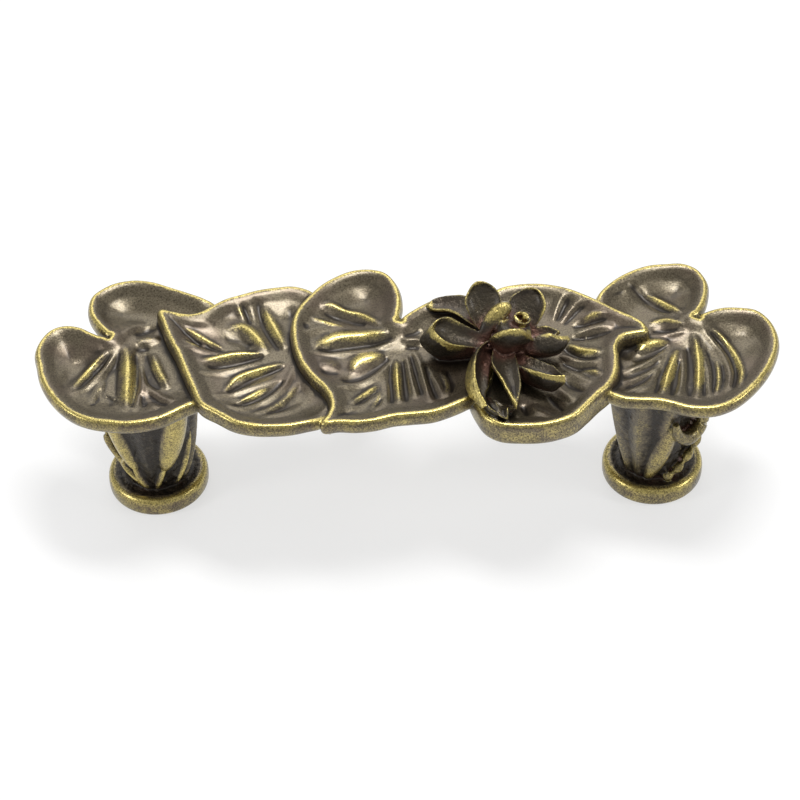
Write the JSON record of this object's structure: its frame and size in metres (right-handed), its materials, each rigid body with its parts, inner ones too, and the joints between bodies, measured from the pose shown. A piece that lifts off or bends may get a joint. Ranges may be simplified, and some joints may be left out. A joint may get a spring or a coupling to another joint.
{
  "type": "lily pad drawer pull",
  "caption": "Cast drawer pull: a bar of overlapping veined lily pads with an open water lily, carried on reed-wrapped posts with round feet, in antique brass.",
  "frame": {"origin": "centre of the pull's overall box in plan, on the plane of the feet, which lie on the drawer front", "axes": "+X along the pull towards the flower's end, +Z straight out from the drawer front, +Y across the pull towards the notches of the end leaves"},
  "size_m": [0.1106, 0.0344, 0.0331],
  "materials": {
    "antique_brass": "antique brass: dark brown patina in the hollows, rubbed through to gold on the rims and veins"
  },
  "bodies": {
    "root": {"lily_pad_pull": "antique_brass"}
  },
  "joints": []
}
